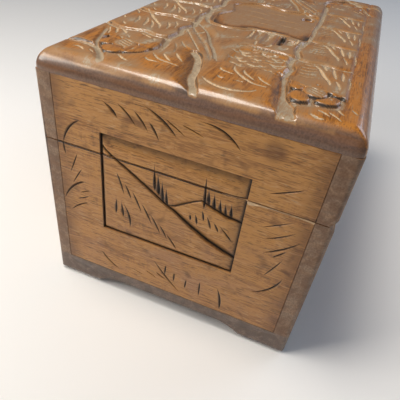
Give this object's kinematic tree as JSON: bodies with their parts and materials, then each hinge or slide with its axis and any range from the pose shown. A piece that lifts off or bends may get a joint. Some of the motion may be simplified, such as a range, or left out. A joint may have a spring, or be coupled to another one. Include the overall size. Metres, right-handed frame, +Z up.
{
  "type": "keepsake box",
  "caption": "Rectangular wooden box for papers and keepsakes, with carved panels, an arched base and a lid that opens on two butt hinges at the back.",
  "frame": {"origin": "centre of the footprint, on the plane that the four feet stand on", "axes": "+X along the length towards the right end, +Y from the front face to the hinged back, +Z up"},
  "size_m": [0.266, 0.16, 0.154],
  "materials": {
    "wall_wood": "oiled camphor wood, chip carved",
    "lid_wood": "varnished camphor wood, relief carved",
    "base_wood": "dark end grain, waxed",
    "hinge_brass": "aged brass",
    "screw_brass": "aged brass, slotted heads",
    "nail_steel": "blackened steel"
  },
  "bodies": {
    "body": {"base_board": "base_wood", "front_board": "wall_wood", "back_board": "wall_wood", "left_end_board": "wall_wood", "right_end_board": "wall_wood", "left_hinge_body_leaf": "hinge_brass", "left_hinge_pin": "hinge_brass", "right_hinge_body_leaf": "hinge_brass", "right_hinge_pin": "hinge_brass", "body_hinge_screws": "screw_brass", "base_nails": "nail_steel", "body_corner_nails": "nail_steel"},
    "lid": {"lid_top_board": "lid_wood", "lid_front_rail": "wall_wood", "lid_back_rail": "wall_wood", "lid_left_rail": "wall_wood", "lid_right_rail": "wall_wood", "left_hinge_lid_leaf": "hinge_brass", "right_hinge_lid_leaf": "hinge_brass", "lid_hinge_screws": "screw_brass", "lid_corner_nails": "nail_steel"}
  },
  "joints": [
    {"name": "lid_hinge", "type": "hinge", "parent": "body", "child": "lid", "pos_m": [0, 0.077, 0.10575], "axis": [-1, 0, 0], "range_deg": [0, 100]}
  ]
}
